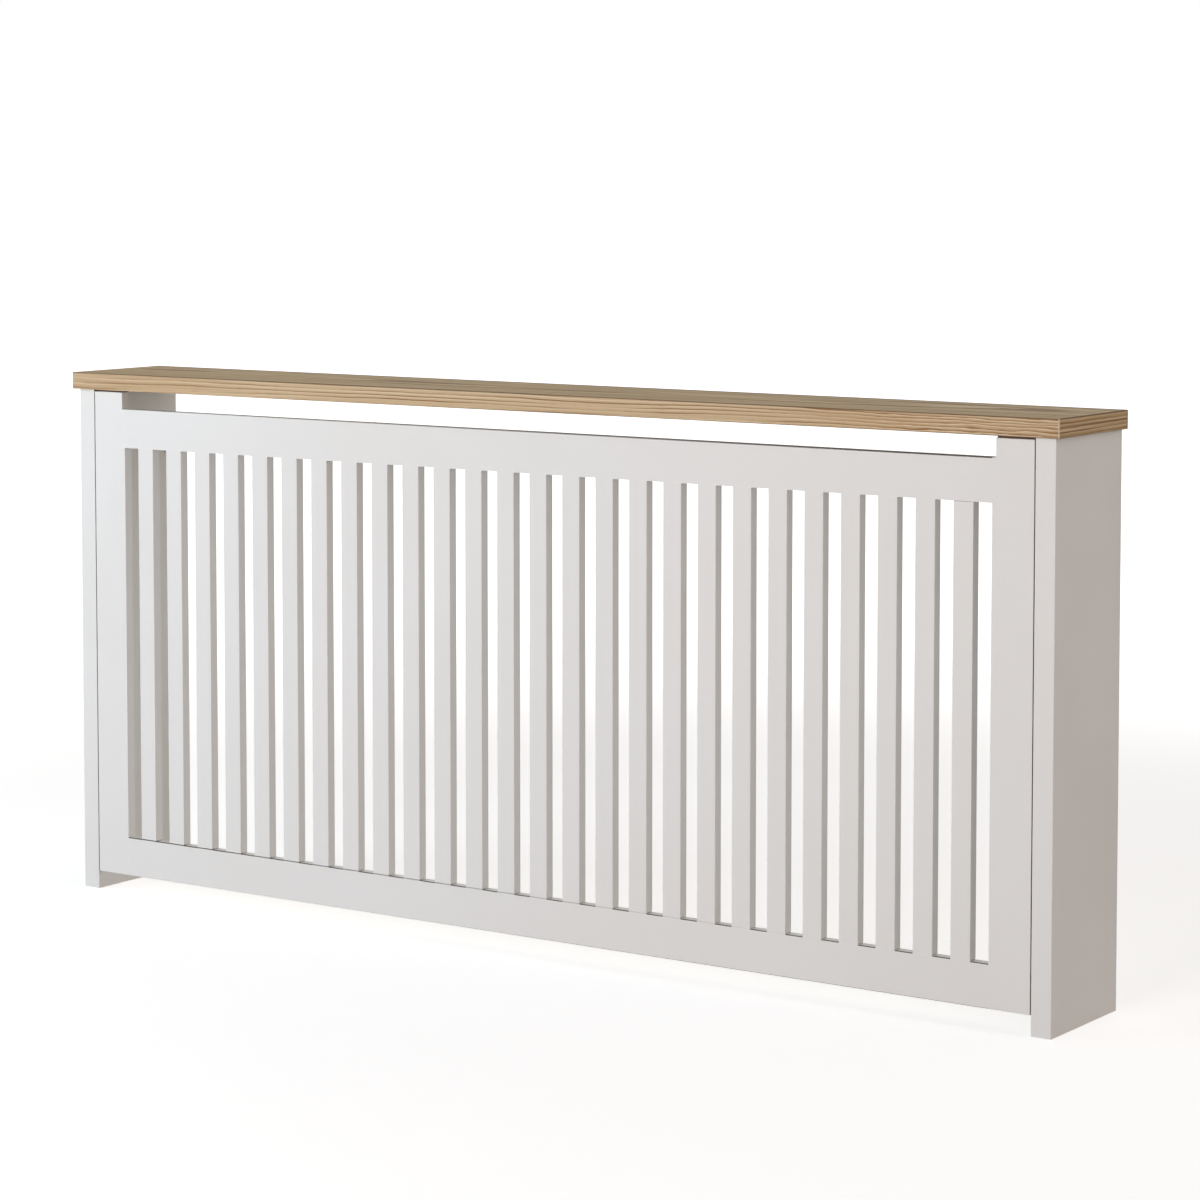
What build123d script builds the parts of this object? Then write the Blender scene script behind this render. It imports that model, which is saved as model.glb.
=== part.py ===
from build123d import *
import math
import os

# Radiator cover cabinet: a slatted front frame between two full-height side panels,
# under an oak-faced shelf. The back and the bottom are open.
# Millimetres. X runs along the front, Y into the wall, Z up. The origin is on the floor,
# in the middle of the shelf's outline.

# ---- overall sizes ----
overall_width = 1720
overall_depth = 200
overall_height = 815

# ---- shelf ----
top_thickness = 26
top_end_overhang = 8
top_front_overhang = 8
edging_thickness = 1.5
edging_round = 1

# ---- side panels ----
side_thickness = 30
edge_round = 1.2  # eased edges of the painted boards

# ---- front frame ----
frame_thickness = 16
frame_floor_gap = 28
frame_side_gap = 1  # between frame and side panel, each side
frame_head_gap = 0.5  # between frame and shelf
shadow_line_height = 2.5  # rebate along the stile heads, a dark line under the shelf
shadow_line_depth = 5
stile_width = 62
rail_height = 60
vent_slot_height = 29  # from the top rail to the shelf
vent_slot_step = 5  # how far the slot reaches past the grille at each end
grille_edge_round = 0.5

# ---- slats ----
slat_count = 26
slat_width = 30
slat_round = 1
slat_foot_gap = 0.8  # open joint under each slat
tenon_width = 20
tenon_thickness = 6
tenon_length = 8
tenon_play = 0.1  # each side of a tenon
mortise_spare_depth = 0.3

# ---- dowels ----
dowel_diameter = 8
dowel_chamfer = 1
dowel_play = 0.05  # round the dowel
dowel_spare_depth = 0.3  # at each end of the dowel
rail_dowel_length = 40
rail_dowel_spacing = 32
panel_dowel_length = 30
side_dowel_end_distance = 90  # from each end of the stile
top_dowel_inset = 70  # from the shelf's wall edge and from the frame

# ---- cam fittings ----
cam_diameter = 15
cam_play = 0.1
cam_web = 3  # board left under a cam in the front frame
cam_spare_depth = 0.3
cam_recess_length = 8
cam_recess_width = 1.4
cam_recess_depth = 2
cam_core_diameter = 9
cam_entry_turn = 110  # degrees from the bolt's way in to its locked place
front_cam_setback = 24  # cam centre from the stile's outer edge
front_cam_end_distance = 50  # from each end of the stile
top_cam_setback = 50  # cam centre from the side panel's top edge, below what the vent slot shows
top_cam_inset = 40  # from the wall edge and from the frame
bolt_bore_diameter = 8
bolt_thread_diameter = 5
bolt_thread_length = 11
bolt_thread_play = 0.05
bolt_tip_chamfer = 0.8
bolt_collar_diameter = 7.2
bolt_collar_length = 1.2
bolt_shaft_diameter = 6
bolt_neck_diameter = 4
bolt_neck_length = 5.5
bolt_head_diameter = 6.2
bolt_head_length = 3
bolt_head_play = 0.3  # round the head and neck inside the cam

# ---- wall brackets ----
bracket_leg = 30
bracket_width = 20
bracket_thickness = 2
bracket_outer_bend = 3
bracket_corner_round = 3
bracket_drop = 100  # from the shelf's underside to the bracket's centre
bracket_screw_from_wall = 20
bracket_screw_spacing = 10
wall_hole_diameter = 5.5
wall_hole_from_panel = 18
screw_head_diameter = 7
screw_head_angle = 90
screw_diameter = 3.5
screw_length = 16
screw_tip_length = 3
screw_play = 0.05
screw_recess_length = 3.6
screw_recess_width = 0.8
screw_recess_depth = 1

# ---- places worked out from the sizes ----
wall_y = overall_depth / 2
front_y = top_front_overhang - overall_depth / 2
frame_mid_y = front_y + frame_thickness / 2
frame_back_y = front_y + frame_thickness
side_depth = wall_y - front_y
shelf_under_z = overall_height - top_thickness

side_outer_x = overall_width / 2 - top_end_overhang
side_inner_x = side_outer_x - side_thickness
side_mid_x = side_outer_x - side_thickness / 2
frame_half_width = side_inner_x - frame_side_gap
grille_half_width = frame_half_width - stile_width
vent_half_width = grille_half_width + vent_slot_step

frame_bottom_z = frame_floor_gap
frame_top_z = shelf_under_z - frame_head_gap
frame_height = frame_top_z - frame_bottom_z
grille_bottom_z = frame_bottom_z + rail_height
top_rail_top_z = shelf_under_z - vent_slot_height
grille_top_z = top_rail_top_z - rail_height
grille_height = grille_top_z - grille_bottom_z
grille_mid_z = (grille_top_z + grille_bottom_z) / 2

slot_width = (2 * grille_half_width - slat_count * slat_width) / (slat_count + 1)
slat_pitch = slat_width + slot_width
first_slat_x = -grille_half_width + slot_width + slat_width / 2
slat_centres = [first_slat_x + slat_pitch * i for i in range(slat_count)]
mortise_depth = tenon_length + mortise_spare_depth

dowel_hole_radius = dowel_diameter / 2 + dowel_play
rail_dowel_hole_depth = rail_dowel_length / 2 + dowel_spare_depth
panel_dowel_hole_depth = panel_dowel_length / 2 + dowel_spare_depth

cam_height = frame_thickness - cam_web - cam_spare_depth
cam_bore_depth = frame_thickness - cam_web
cam_axis_depth = frame_thickness / 2
cam_bore_radius = cam_diameter / 2 + cam_play
bolt_thread_hole_radius = bolt_thread_diameter / 2 + bolt_thread_play
bolt_thread_hole_depth = bolt_thread_length + dowel_spare_depth
front_bolt_reach = frame_side_gap + front_cam_setback
screw_hole_radius = screw_diameter / 2 + screw_play
screw_head_flare = (screw_head_diameter - screw_diameter) / 2
screw_head_depth = screw_head_flare / math.tan(math.radians(screw_head_angle / 2))

# Heights of the fittings along the left stile, and places along the side panel's top edge.
front_cam_heights = [
    frame_bottom_z + front_cam_end_distance,
    frame_bottom_z + frame_height / 2,
    frame_top_z - front_cam_end_distance,
]
side_dowel_heights = [
    frame_bottom_z + side_dowel_end_distance,
    frame_top_z - side_dowel_end_distance,
]
top_cam_places = [frame_back_y + top_cam_inset, wall_y - top_cam_inset]
top_dowel_places = [frame_back_y + top_dowel_inset, wall_y - top_dowel_inset]
rail_dowel_heights = [
    rail_z + offset
    for rail_z in (
        grille_bottom_z - rail_height / 2,
        grille_top_z + rail_height / 2,
    )
    for offset in (-rail_dowel_spacing / 2, rail_dowel_spacing / 2)
]
bracket_z = shelf_under_z - bracket_drop
bracket_screw_heights = [
    bracket_z - bracket_screw_spacing / 2,
    bracket_z + bracket_screw_spacing / 2,
]


def both_sides(planes):
    """The given planes and their mirror images in the middle plane of the cover."""
    mirrored = [
        Plane(
            origin=(-p.origin.X, p.origin.Y, p.origin.Z),
            x_dir=(-p.x_dir.X, p.x_dir.Y, p.x_dir.Z),
            z_dir=(-p.z_dir.X, p.z_dir.Y, p.z_dir.Z),
        )
        for p in planes
    ]
    return planes + mirrored


# Seats of the fittings at the left end. Each plane faces out of the hole that it marks.
stile_edge_x = -frame_half_width
panel_face_x = -side_inner_x
cam_bolt_line_x = panel_face_x - cam_axis_depth

front_cam_seats = [
    Plane(origin=(stile_edge_x + front_cam_setback, frame_back_y, z), x_dir=(1, 0, 0), z_dir=(0, 1, 0))
    for z in front_cam_heights
]
stile_bolt_bores = [
    Plane(origin=(stile_edge_x, frame_back_y - cam_axis_depth, z), z_dir=(-1, 0, 0))
    for z in front_cam_heights
]
panel_bolt_holes = [
    Plane(origin=(panel_face_x, frame_back_y - cam_axis_depth, z), z_dir=(1, 0, 0))
    for z in front_cam_heights
]
stile_dowel_holes = [
    Plane(origin=(stile_edge_x, frame_mid_y, z), z_dir=(-1, 0, 0)) for z in side_dowel_heights
]
panel_dowel_holes = [
    Plane(origin=(panel_face_x, frame_mid_y, z), z_dir=(1, 0, 0)) for z in side_dowel_heights
]
stile_rail_dowel_holes = [
    Plane(origin=(-grille_half_width, frame_mid_y, z), z_dir=(1, 0, 0)) for z in rail_dowel_heights
]
rail_end_dowel_holes = [
    Plane(origin=(-grille_half_width, frame_mid_y, z), z_dir=(-1, 0, 0)) for z in rail_dowel_heights
]
top_cam_seats = [
    Plane(origin=(panel_face_x, y, shelf_under_z - top_cam_setback), x_dir=(0, 0, -1), z_dir=(1, 0, 0))
    for y in top_cam_places
]
panel_top_bolt_bores = [
    Plane(origin=(cam_bolt_line_x, y, shelf_under_z), z_dir=(0, 0, 1)) for y in top_cam_places
]
shelf_bolt_holes = [
    Plane(origin=(cam_bolt_line_x, y, shelf_under_z), z_dir=(0, 0, -1)) for y in top_cam_places
]
panel_top_dowel_holes = [
    Plane(origin=(-side_mid_x, y, shelf_under_z), z_dir=(0, 0, 1)) for y in top_dowel_places
]
shelf_dowel_holes = [
    Plane(origin=(-side_mid_x, y, shelf_under_z), z_dir=(0, 0, -1)) for y in top_dowel_places
]
panel_screw_holes = [
    Plane(origin=(panel_face_x, wall_y - bracket_screw_from_wall, z), z_dir=(1, 0, 0))
    for z in bracket_screw_heights
]
bracket_screw_seats = [
    Plane(
        origin=(panel_face_x + bracket_thickness, wall_y - bracket_screw_from_wall, z),
        z_dir=(1, 0, 0),
    )
    for z in bracket_screw_heights
]

os.makedirs("parts", exist_ok=True)

# ---- shelf board: core with the blind holes of its bolts and dowels underneath ----
core_width = overall_width - 2 * edging_thickness
core_depth = overall_depth - edging_thickness
core_mid_y = edging_thickness / 2

with BuildPart() as top_board:
    with BuildSketch(Plane.XY.offset(shelf_under_z)):
        with Locations((0, core_mid_y)):
            Rectangle(core_width, core_depth)
    extrude(amount=top_thickness)
    with Locations(both_sides(shelf_bolt_holes)):
        Hole(bolt_thread_hole_radius, bolt_thread_hole_depth)
    with Locations(both_sides(shelf_dowel_holes)):
        Hole(dowel_hole_radius, panel_dowel_hole_depth)

top_board.part.label = "top_board"
export_step(top_board.part, "parts/top_board.step")

# ---- edging strips: the ends first, and the front strip laps over them ----
with BuildPart() as top_left_edging:
    with BuildSketch(Plane.XY.offset(shelf_under_z)):
        with Locations(((edging_thickness - overall_width) / 2, core_mid_y)):
            Rectangle(edging_thickness, core_depth)
    extrude(amount=top_thickness)
    outer_edges = top_left_edging.edges().filter_by(Axis.Y).group_by(Axis.X)[0]
    fillet(outer_edges, radius=edging_round)

top_left_edging.part.label = "top_left_edging"
export_step(top_left_edging.part, "parts/top_left_edging.step")

with BuildPart() as top_right_edging:
    mirror(top_left_edging.part, about=Plane.YZ)

top_right_edging.part.label = "top_right_edging"
export_step(top_right_edging.part, "parts/top_right_edging.step")

with BuildPart() as top_front_edging:
    with BuildSketch(Plane.XY.offset(shelf_under_z)):
        with Locations((0, (edging_thickness - overall_depth) / 2)):
            Rectangle(overall_width, edging_thickness)
    extrude(amount=top_thickness)
    front_face = top_front_edging.faces().sort_by(Axis.Y)[0]
    fillet(front_face.edges(), radius=edging_round)

top_front_edging.part.label = "top_front_edging"
export_step(top_front_edging.part, "parts/top_front_edging.step")

# ---- side panels: plain boards with eased upright edges, bored on their inner face ----
with BuildPart() as left_side_panel:
    with BuildSketch(Plane.XY):
        with Locations((-side_mid_x, (front_y + wall_y) / 2)):
            RectangleRounded(side_thickness, side_depth, edge_round)
    extrude(amount=shelf_under_z)
    with Locations(panel_bolt_holes):
        Hole(bolt_thread_hole_radius, bolt_thread_hole_depth)
    with Locations(panel_dowel_holes):
        Hole(dowel_hole_radius, panel_dowel_hole_depth)
    with Locations(top_cam_seats):
        Hole(cam_bore_radius, cam_bore_depth)
    with Locations(panel_top_bolt_bores):
        Hole(bolt_bore_diameter / 2, top_cam_setback)
    with Locations(panel_top_dowel_holes):
        Hole(dowel_hole_radius, panel_dowel_hole_depth)
    with Locations(panel_screw_holes):
        Hole(screw_hole_radius, screw_length)

left_side_panel.part.label = "left_side_panel"
export_step(left_side_panel.part, "parts/left_side_panel.step")

with BuildPart() as right_side_panel:
    mirror(left_side_panel.part, about=Plane.YZ)

right_side_panel.part.label = "right_side_panel"
export_step(right_side_panel.part, "parts/right_side_panel.step")

# ---- front frame as one outline, so that its eased edges run on from member to member ----
with BuildPart() as frame_outline:
    with BuildSketch(Plane.XZ.offset(-front_y)):
        with Locations((0, (frame_bottom_z + frame_top_z) / 2)):
            Rectangle(2 * frame_half_width, frame_height)
        with Locations((0, grille_mid_z)):
            Rectangle(2 * grille_half_width, grille_height, mode=Mode.SUBTRACT)
        with Locations((0, (top_rail_top_z + shelf_under_z) / 2)):
            Rectangle(2 * vent_half_width, vent_slot_height, mode=Mode.SUBTRACT)
    extrude(amount=-frame_thickness)
    with BuildSketch(Plane.XY.offset(frame_top_z)):
        with Locations((0, front_y + shadow_line_depth / 2)):
            Rectangle(2 * frame_half_width, shadow_line_depth)
    extrude(amount=-shadow_line_height, mode=Mode.SUBTRACT)
    level_edges = frame_outline.edges().filter_by(Axis.X).group_by(Axis.Z)
    upright_edges = frame_outline.edges().filter_by(Axis.Z).group_by(Axis.X)
    grille_sill = level_edges[1]
    grille_jambs = upright_edges[2] + upright_edges[-3]
    fillet(grille_sill + grille_jambs, radius=grille_edge_round)
    level_edges = frame_outline.edges().filter_by(Axis.X).group_by(Axis.Z)
    upright_edges = frame_outline.edges().filter_by(Axis.Z).group_by(Axis.X)
    underside_and_vent_sill = level_edges[0] + level_edges[-3]
    shadow_line_arris = level_edges[-2].group_by(Axis.Y)[0]
    head_back_arris = level_edges[-1].group_by(Axis.Y)[-1]
    frame_ends = upright_edges[0] + upright_edges[-1]
    vent_cheeks = upright_edges[1] + upright_edges[-2]
    uprights_by_depth = (frame_ends + vent_cheeks).group_by(Axis.Y)
    front_and_back_uprights = uprights_by_depth[0] + uprights_by_depth[-1]
    fillet(
        underside_and_vent_sill + shadow_line_arris + head_back_arris + front_and_back_uprights,
        radius=edge_round,
    )

# ---- stiles: cam bores in the back, bolt bores and dowel holes in both edges ----
with BuildPart() as left_stile:
    add(frame_outline.part)
    split(bisect_by=Plane.YZ.offset(-grille_half_width), keep=Keep.BOTTOM)
    with Locations(front_cam_seats):
        Hole(cam_bore_radius, cam_bore_depth)
    with Locations(stile_bolt_bores):
        Hole(bolt_bore_diameter / 2, front_cam_setback)
    with Locations(stile_dowel_holes):
        Hole(dowel_hole_radius, panel_dowel_hole_depth)
    with Locations(stile_rail_dowel_holes):
        Hole(dowel_hole_radius, rail_dowel_hole_depth)

left_stile.part.label = "left_stile"
export_step(left_stile.part, "parts/left_stile.step")

with BuildPart() as right_stile:
    mirror(left_stile.part, about=Plane.YZ)

right_stile.part.label = "right_stile"
export_step(right_stile.part, "parts/right_stile.step")

# ---- rails: the lengths between the stiles, with a mortise for each slat ----
with BuildPart() as both_rails:
    add(frame_outline.part)
    split(bisect_by=Plane.YZ.offset(-grille_half_width), keep=Keep.TOP)
    split(bisect_by=Plane.YZ.offset(grille_half_width), keep=Keep.BOTTOM)
    with Locations(both_sides(rail_end_dowel_holes)):
        Hole(dowel_hole_radius, rail_dowel_hole_depth)

mortise_places = [(x, frame_mid_y) for x in slat_centres]
mortise_width = tenon_width + 2 * tenon_play
mortise_thickness = tenon_thickness + 2 * tenon_play

with BuildPart() as top_rail:
    add(both_rails.part)
    split(bisect_by=Plane.XY.offset(grille_mid_z), keep=Keep.TOP)
    with BuildSketch(Plane.XY.offset(grille_top_z)):
        with Locations(mortise_places):
            Rectangle(mortise_width, mortise_thickness)
    extrude(amount=mortise_depth, mode=Mode.SUBTRACT)

top_rail.part.label = "top_rail"
export_step(top_rail.part, "parts/top_rail.step")

with BuildPart() as bottom_rail:
    add(both_rails.part)
    split(bisect_by=Plane.XY.offset(grille_mid_z), keep=Keep.BOTTOM)
    with BuildSketch(Plane.XY.offset(grille_bottom_z)):
        with Locations(mortise_places):
            Rectangle(mortise_width, mortise_thickness)
    extrude(amount=-mortise_depth, mode=Mode.SUBTRACT)

bottom_rail.part.label = "bottom_rail"
export_step(bottom_rail.part, "parts/bottom_rail.step")

# ---- slats: shoulder to shoulder between the rails, tenoned into both ----
slat_foot_z = grille_bottom_z + slat_foot_gap
slat_length = grille_top_z - slat_foot_z
tenon_to_tenon = grille_height + 2 * tenon_length

for number, slat_x in enumerate(slat_centres, start=1):
    with BuildPart() as slat:
        with BuildSketch(Plane(origin=(slat_x, frame_mid_y, slat_foot_z))):
            RectangleRounded(slat_width, frame_thickness, slat_round)
        extrude(amount=slat_length)
        with BuildSketch(Plane(origin=(slat_x, frame_mid_y, grille_bottom_z - tenon_length))):
            Rectangle(tenon_width, tenon_thickness)
        extrude(amount=tenon_to_tenon)

    slat.part.label = f"slat_{number:02d}"
    export_step(slat.part, f"parts/slat_{number:02d}.step")


# ---- dowels: one length in the rail joints, a shorter one in the panel joints ----
# Each is drawn upright about its middle, which lies in the plane of its joint.
with BuildPart() as rail_dowel:
    Cylinder(dowel_diameter / 2, rail_dowel_length)
    chamfer(rail_dowel.edges().filter_by(GeomType.CIRCLE), length=dowel_chamfer)

with BuildPart() as panel_dowel:
    Cylinder(dowel_diameter / 2, panel_dowel_length)
    chamfer(panel_dowel.edges().filter_by(GeomType.CIRCLE), length=dowel_chamfer)

with BuildPart() as rail_dowels:
    with Locations(both_sides(stile_rail_dowel_holes)):
        add(rail_dowel.part)

rail_dowels.part.label = "rail_dowels"
export_step(rail_dowels.part, "parts/rail_dowels.step")

with BuildPart() as side_dowels:
    with Locations(both_sides(panel_dowel_holes)):
        add(panel_dowel.part)

side_dowels.part.label = "side_dowels"
export_step(side_dowels.part, "parts/side_dowels.step")

with BuildPart() as top_dowels:
    with Locations(both_sides(panel_top_dowel_holes)):
        add(panel_dowel.part)

top_dowels.part.label = "top_dowels"
export_step(top_dowels.part, "parts/top_dowels.step")

# ---- cam lock: its face lies at Z = 0, and its bolt comes in along X from the left ----
head_chamber_half_height = bolt_head_diameter / 2 + bolt_head_play
head_window_radius = (bolt_head_diameter + bolt_head_play) / 2
head_seat_from_centre = math.sqrt((cam_core_diameter / 2) ** 2 - head_chamber_half_height**2)
neck_slot_half_height = bolt_neck_diameter / 2 + bolt_head_play
neck_slot_lead = math.degrees(math.asin(2 * neck_slot_half_height / cam_core_diameter))
bolt_way_in = Vector(-1, 0, 0)
bolt_way_in_turn = 180  # degrees from X
neck_slot_start = bolt_way_in_turn - neck_slot_lead
neck_slot_turn = neck_slot_lead + cam_entry_turn
head_way_in = bolt_way_in.rotate(Axis.Z, cam_entry_turn)
head_window_centre = head_way_in * (cam_diameter / 2) - Vector(0, 0, cam_axis_depth)

with BuildPart() as cam:
    with BuildSketch():
        Circle(cam_diameter / 2)
    extrude(amount=-cam_height)
    with BuildSketch():
        Rectangle(cam_recess_length, cam_recess_width)
        Rectangle(cam_recess_width, cam_recess_length)
    extrude(amount=-cam_recess_depth, mode=Mode.SUBTRACT)
    # the chamber that the bolt's head turns in
    with BuildSketch(Plane.XY.offset(head_chamber_half_height - cam_axis_depth)):
        Circle(cam_core_diameter / 2)
    extrude(amount=-2 * head_chamber_half_height, mode=Mode.SUBTRACT)
    # the slot that holds the neck, from its locked place round to the head's window
    with BuildSketch(Plane.XY.offset(neck_slot_half_height - cam_axis_depth)):
        with BuildLine():
            sweep_round = CenterArc((0, 0), cam_diameter, neck_slot_start, neck_slot_turn)
            Line((0, 0), sweep_round @ 0)
            Line(sweep_round @ 1, (0, 0))
        make_face()
    extrude(amount=-2 * neck_slot_half_height, mode=Mode.SUBTRACT)
    with Locations(Plane(origin=head_window_centre, z_dir=head_way_in)):
        Hole(head_window_radius, cam_diameter / 2)

with BuildPart() as front_cams:
    with Locations(both_sides(front_cam_seats)):
        add(cam.part)

front_cams.part.label = "front_cams"
export_step(front_cams.part, "parts/front_cams.step")

with BuildPart() as top_cams:
    with Locations(both_sides(top_cam_seats)):
        add(cam.part)

top_cams.part.label = "top_cams"
export_step(top_cams.part, "parts/top_cams.step")


def cam_bolt(reach):
    """A cam bolt that stands on Z = 0, with its thread below and the cam's centre at the given reach."""
    head_bottom_z = reach - head_seat_from_centre
    head_top_z = head_bottom_z + bolt_head_length
    neck_bottom_z = head_bottom_z - bolt_neck_length
    thread_radius = bolt_thread_diameter / 2
    with BuildPart() as bolt:
        with BuildSketch(Plane.XZ):
            with BuildLine():
                Polyline(
                    (0, -bolt_thread_length),
                    (thread_radius - bolt_tip_chamfer, -bolt_thread_length),
                    (thread_radius, bolt_tip_chamfer - bolt_thread_length),
                    (thread_radius, 0),
                    (bolt_collar_diameter / 2, 0),
                    (bolt_collar_diameter / 2, bolt_collar_length),
                    (bolt_shaft_diameter / 2, bolt_collar_length),
                    (bolt_shaft_diameter / 2, neck_bottom_z),
                    (bolt_neck_diameter / 2, neck_bottom_z),
                    (bolt_neck_diameter / 2, head_bottom_z),
                    (bolt_head_diameter / 2, head_bottom_z),
                    (bolt_head_diameter / 2, head_top_z),
                    (0, head_top_z),
                    close=True,
                )
            make_face()
        revolve(axis=Axis.Z)
    return bolt.part


with BuildPart() as front_cam_bolts:
    with Locations(both_sides(panel_bolt_holes)):
        add(cam_bolt(front_bolt_reach))

front_cam_bolts.part.label = "front_cam_bolts"
export_step(front_cam_bolts.part, "parts/front_cam_bolts.step")

with BuildPart() as top_cam_bolts:
    with Locations(both_sides(shelf_bolt_holes)):
        add(cam_bolt(top_cam_setback))

top_cam_bolts.part.label = "top_cam_bolts"
export_step(top_cam_bolts.part, "parts/top_cam_bolts.step")

# ---- wall brackets: a bent strip, one leg on the panel and one against the wall ----
with BuildPart() as left_wall_bracket:
    with BuildSketch(Plane(origin=(panel_face_x, wall_y, bracket_z - bracket_width / 2))):
        with BuildLine():
            FilletPolyline((0, -bracket_leg), (0, 0), (bracket_leg, 0), radius=bracket_outer_bend)
            offset(amount=bracket_thickness, side=Side.RIGHT, closed=True)
        make_face()
    extrude(amount=bracket_width)
    panel_leg_corners = left_wall_bracket.edges().filter_by(Axis.X).group_by(Axis.Y)[0]
    wall_leg_corners = left_wall_bracket.edges().filter_by(Axis.Y).group_by(Axis.X)[-1]
    fillet(panel_leg_corners + wall_leg_corners, radius=bracket_corner_round)
    with Locations(bracket_screw_seats):
        CounterSinkHole(
            radius=screw_hole_radius,
            counter_sink_radius=screw_head_diameter / 2 + screw_play,
            counter_sink_angle=screw_head_angle,
            depth=bracket_thickness,
        )
    with Locations(
        Plane(
            origin=(panel_face_x + wall_hole_from_panel, wall_y - bracket_thickness, bracket_z),
            z_dir=(0, -1, 0),
        )
    ):
        Hole(wall_hole_diameter / 2, bracket_thickness)

left_wall_bracket.part.label = "left_wall_bracket"
export_step(left_wall_bracket.part, "parts/left_wall_bracket.step")

with BuildPart() as right_wall_bracket:
    mirror(left_wall_bracket.part, about=Plane.YZ)

right_wall_bracket.part.label = "right_wall_bracket"
export_step(right_wall_bracket.part, "parts/right_wall_bracket.step")

# ---- bracket screws: flush with the panel leg, and the shank goes on into the side panel ----
with BuildPart() as bracket_screw:
    with BuildSketch(Plane.XZ):
        with BuildLine():
            Polyline(
                (0, 0),
                (screw_head_diameter / 2, 0),
                (screw_diameter / 2, -screw_head_depth),
                (screw_diameter / 2, screw_tip_length - screw_length),
                (0, -screw_length),
                close=True,
            )
        make_face()
    revolve(axis=Axis.Z)
    with BuildSketch():
        Rectangle(screw_recess_length, screw_recess_width)
        Rectangle(screw_recess_width, screw_recess_length)
    extrude(amount=-screw_recess_depth, mode=Mode.SUBTRACT)

with BuildPart() as bracket_screws:
    with Locations(both_sides(bracket_screw_seats)):
        add(bracket_screw.part)

bracket_screws.part.label = "bracket_screws"
export_step(bracket_screws.part, "parts/bracket_screws.step")
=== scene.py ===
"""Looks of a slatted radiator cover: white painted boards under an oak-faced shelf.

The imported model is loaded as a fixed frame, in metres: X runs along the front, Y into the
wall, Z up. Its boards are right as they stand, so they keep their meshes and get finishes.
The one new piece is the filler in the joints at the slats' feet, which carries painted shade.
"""

import logging
import math
from dataclasses import dataclass, replace
from enum import Enum
from functools import partial, reduce
from typing import Any, Dict, List, NamedTuple, Sequence, Tuple, Union

import bpy
import numpy as np
from mathutils import Euler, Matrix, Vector

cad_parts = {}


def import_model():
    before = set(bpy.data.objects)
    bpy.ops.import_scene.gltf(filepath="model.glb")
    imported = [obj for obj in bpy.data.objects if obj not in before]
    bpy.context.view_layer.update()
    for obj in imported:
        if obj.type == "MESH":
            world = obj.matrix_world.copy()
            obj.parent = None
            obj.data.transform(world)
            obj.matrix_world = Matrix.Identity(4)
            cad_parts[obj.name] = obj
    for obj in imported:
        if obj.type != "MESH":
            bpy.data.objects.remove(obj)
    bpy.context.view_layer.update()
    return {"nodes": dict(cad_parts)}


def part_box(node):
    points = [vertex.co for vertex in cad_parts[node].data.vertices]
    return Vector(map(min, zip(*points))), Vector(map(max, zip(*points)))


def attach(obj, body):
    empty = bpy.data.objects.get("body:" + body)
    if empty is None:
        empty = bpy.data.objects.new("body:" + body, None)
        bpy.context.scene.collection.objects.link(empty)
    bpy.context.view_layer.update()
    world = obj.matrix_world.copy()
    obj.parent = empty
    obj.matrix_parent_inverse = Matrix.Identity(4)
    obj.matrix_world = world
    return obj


Colour = Tuple[float, float, float]
Triple = Tuple[float, float, float]
Span = Tuple[float, float]
Nodes = Dict[str, bpy.types.Object]
Socket = bpy.types.NodeSocket
Input = Union[Socket, float, Sequence[float]]

MM = 0.001
WHITE: Colour = (1.0, 1.0, 1.0)
NOISE_MIDDLE = 0.5
LOG = logging.getLogger("radiator_cover")

# The colour sockets of Blender's mix node, which it shares out among several kinds of value.
MIX_FIRST = 6
MIX_SECOND = 7
MIX_RESULT = 2


class Axis(Enum):
    """One of the three directions of the cover's frame."""

    X = 0
    Y = 1
    Z = 2


class Side(Enum):
    """An end of the cover, by its sign on X."""

    LEFT = -1
    RIGHT = 1

    @property
    def word(self) -> str:
        """The side as the nodes' names have it."""
        return self.name.lower()


# ---------------- shader building


def rgba(colour: Colour) -> Tuple[float, float, float, float]:
    """A colour with full opacity."""
    return (*colour, 1.0)


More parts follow.
